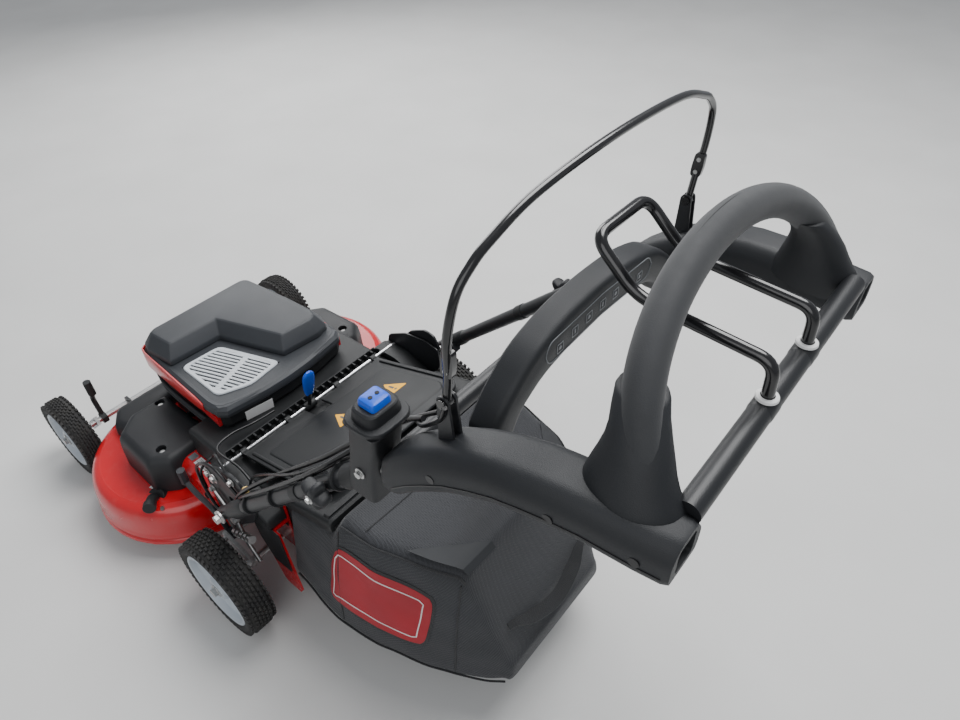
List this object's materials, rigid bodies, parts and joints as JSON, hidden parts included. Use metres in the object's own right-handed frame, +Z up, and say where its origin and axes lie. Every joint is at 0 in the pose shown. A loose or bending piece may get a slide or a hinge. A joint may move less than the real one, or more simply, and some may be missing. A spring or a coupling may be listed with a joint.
{
  "type": "walk-behind lawn mower",
  "caption": "Walk-behind battery lawn mower with a twin-blade steel deck, folding handle with arched grip, blade bail, traction bar and rear grass bag.",
  "frame": {"origin": "bottom centre of the bounding box, on the ground between the wheels", "axes": "+Z up, +Y towards the operator behind the mower, +X to the operator's left"},
  "size_m": [0.7936, 1.5384, 1.0785],
  "materials": {
    "red_paint": "glossy red powder coat",
    "black_plastic": "fine-textured moulded black",
    "grey_plastic": "fine-textured dark grey",
    "black_steel": "satin black powder coat",
    "steel": "zinc-plated steel",
    "silver_plastic": "satin silver",
    "tyre": "moulded tread",
    "rim_plastic": "pale grey moulded",
    "foam": "closed-cell foam grip",
    "bag_cloth": "coarse woven mesh",
    "blue_plastic": "moulded blue",
    "belt_rubber": "toothed belt",
    "chrome_rod": "bright plated rod"
  },
  "bodies": {
    "chassis": {"deck_shell": "red_paint", "drive_belt": "belt_rubber", "motor": "steel", "spindle_cover_left": "black_plastic", "spindle_cover_right": "black_plastic", "front_cover": "black_plastic", "battery_tub": "black_plastic", "housing_top": "grey_plastic", "vent_grille": "silver_plastic", "battery_pack": "black_plastic", "controller": "steel", "red_strip_left": "red_paint", "red_strip_right": "red_paint", "front_bracket_left": "black_steel", "front_bracket_right": "black_steel", "rear_bracket_left": "black_steel", "rear_bracket_right": "black_steel", "door_rod": "chrome_rod"},
    "blade_left": {"spindle_left": "steel", "blade_left": "steel", "pulley_left": "steel"},
    "blade_right": {"spindle_right": "steel", "blade_right": "steel", "pulley_right": "steel"},
    "motor_rotor": {"motor_rotor": "steel"},
    "battery_lid": {"battery_lid": "grey_plastic"},
    "rear_door": {"rear_door": "black_plastic"},
    "blue_lever": {"blue_lever": "blue_plastic"},
    "front_axle": {"front_axle": "steel", "front_height_lever": "black_plastic"},
    "rear_axle": {"rear_axle": "steel", "rear_height_lever": "grey_plastic"},
    "front_wheel_left": {"front_tyre_left": "tyre", "front_rim_left": "rim_plastic"},
    "front_wheel_right": {"front_tyre_right": "tyre", "front_rim_right": "rim_plastic"},
    "rear_wheel_left": {"rear_tyre_left": "tyre", "rear_rim_left": "rim_plastic"},
    "rear_wheel_right": {"rear_tyre_right": "tyre", "rear_rim_right": "rim_plastic"},
    "bag": {"bag_fabric": "bag_cloth", "bag_frame": "black_plastic", "bag_hood": "black_plastic", "bag_strap": "bag_cloth"},
    "lower_handle": {"lower_tube_left": "black_steel", "lower_tube_right": "black_steel", "handle_cross_tube": "black_steel", "key_housing": "black_plastic", "control_cable_1": "black_plastic", "control_cable_2": "black_plastic"},
    "knob_left": {"handle_knob_left": "black_plastic"},
    "knob_right": {"handle_knob_right": "black_plastic"},
    "start_button": {"start_button": "blue_plastic"},
    "upper_handle": {"handle_arm_left": "grey_plastic", "handle_arm_right": "grey_plastic", "loop_grip": "foam", "rear_crossbar": "black_steel", "front_panel": "grey_plastic"},
    "traction_bar": {"traction_bar": "black_steel"},
    "bail": {"bail": "black_steel"}
  },
  "joints": [
    {"name": "blade_left_spin", "type": "hinge", "parent": "chassis", "child": "blade_left", "pos_m": [0.184, -0.39462, 0.086], "axis": [0, 0, 1], "continuous": true},
    {"name": "blade_right_spin", "type": "hinge", "parent": "chassis", "child": "blade_right", "pos_m": [-0.184, -0.39462, 0.086], "axis": [0, 0, 1], "continuous": true},
    {"name": "motor_spin", "type": "hinge", "parent": "chassis", "child": "motor_rotor", "pos_m": [0, -0.39462, 0.2], "axis": [0, 0, 1], "continuous": true},
    {"name": "lid_hinge", "type": "hinge", "parent": "chassis", "child": "battery_lid", "pos_m": [0, -0.50462, 0.352], "axis": [1, 0, 0], "range_deg": [0, 85]},
    {"name": "door_hinge", "type": "hinge", "parent": "chassis", "child": "rear_door", "pos_m": [0, -0.11062, 0.304], "axis": [1, 0, 0], "range_deg": [0, 44]},
    {"name": "blue_lever_hinge", "type": "hinge", "parent": "chassis", "child": "blue_lever", "pos_m": [0, -0.11062, 0.304], "axis": [-1, 0, 0], "range_deg": [-22, 0]},
    {"name": "front_height", "type": "hinge", "parent": "chassis", "child": "front_axle", "pos_m": [0, -0.62362, 0.14], "axis": [1, 0, 0], "range_deg": [-20, 5.5]},
    {"name": "rear_height", "type": "hinge", "parent": "chassis", "child": "rear_axle", "pos_m": [0, -0.10662, 0.132], "axis": [1, 0, 0], "range_deg": [-16, 14]},
    {"name": "bag_pull", "type": "slide", "parent": "chassis", "child": "bag", "axis": [0, 1, 0], "range_m": [0, 0.25]},
    {"name": "handle_fold", "type": "hinge", "parent": "chassis", "child": "lower_handle", "pos_m": [0, 0.00638, 0.33], "axis": [1, 0, 0], "range_deg": [0, 45]},
    {"name": "handle_drive_slide", "type": "slide", "parent": "lower_handle", "child": "upper_handle", "axis": [0, -0.7306, -0.6828], "range_m": [0, 0.006], "stiffness_N_per_m": 6000},
    {"name": "start_button_press", "type": "slide", "parent": "lower_handle", "child": "start_button", "axis": [0, 0, -1], "range_m": [0, 0.0035], "stiffness_N_per_m": 400},
    {"name": "traction_bar_swing", "type": "hinge", "parent": "upper_handle", "child": "traction_bar", "pos_m": [0, 0.75538, 0.866], "axis": [-1, 0, 0], "range_deg": [0, 12], "stiffness_Nm_per_rad": 4},
    {"name": "bail_hinge", "type": "hinge", "parent": "upper_handle", "child": "bail", "pos_m": [0, 0.52438, 0.884], "axis": [-1, 0, 0], "range_deg": [0, 26], "stiffness_Nm_per_rad": 1.5},
    {"name": "front_wheel_left_spin", "type": "hinge", "parent": "front_axle", "child": "front_wheel_left", "pos_m": [0.32, -0.66762, 0.1016], "axis": [1, 0, 0], "continuous": true},
    {"name": "rear_wheel_left_spin", "type": "hinge", "parent": "rear_axle", "child": "rear_wheel_left", "pos_m": [0.331, -0.03162, 0.1143], "axis": [1, 0, 0], "continuous": true},
    {"name": "knob_left_turn", "type": "hinge", "parent": "lower_handle", "child": "knob_left", "pos_m": [0, 0.31338, 0.619], "axis": [1, 0, 0], "range_deg": [0, 270]},
    {"name": "front_wheel_right_spin", "type": "hinge", "parent": "front_axle", "child": "front_wheel_right", "pos_m": [-0.32, -0.66762, 0.1016], "axis": [1, 0, 0], "continuous": true},
    {"name": "rear_wheel_right_spin", "type": "hinge", "parent": "rear_axle", "child": "rear_wheel_right", "pos_m": [-0.331, -0.03162, 0.1143], "axis": [1, 0, 0], "continuous": true},
    {"name": "knob_right_turn", "type": "hinge", "parent": "lower_handle", "child": "knob_right", "pos_m": [0, 0.31338, 0.619], "axis": [1, 0, 0], "range_deg": [0, 270]}
  ],
  "couplings": [
    {"joint": "motor_spin", "follows": "blade_left_spin", "ratio": 1},
    {"joint": "blade_right_spin", "follows": "blade_left_spin", "ratio": 1}
  ]
}
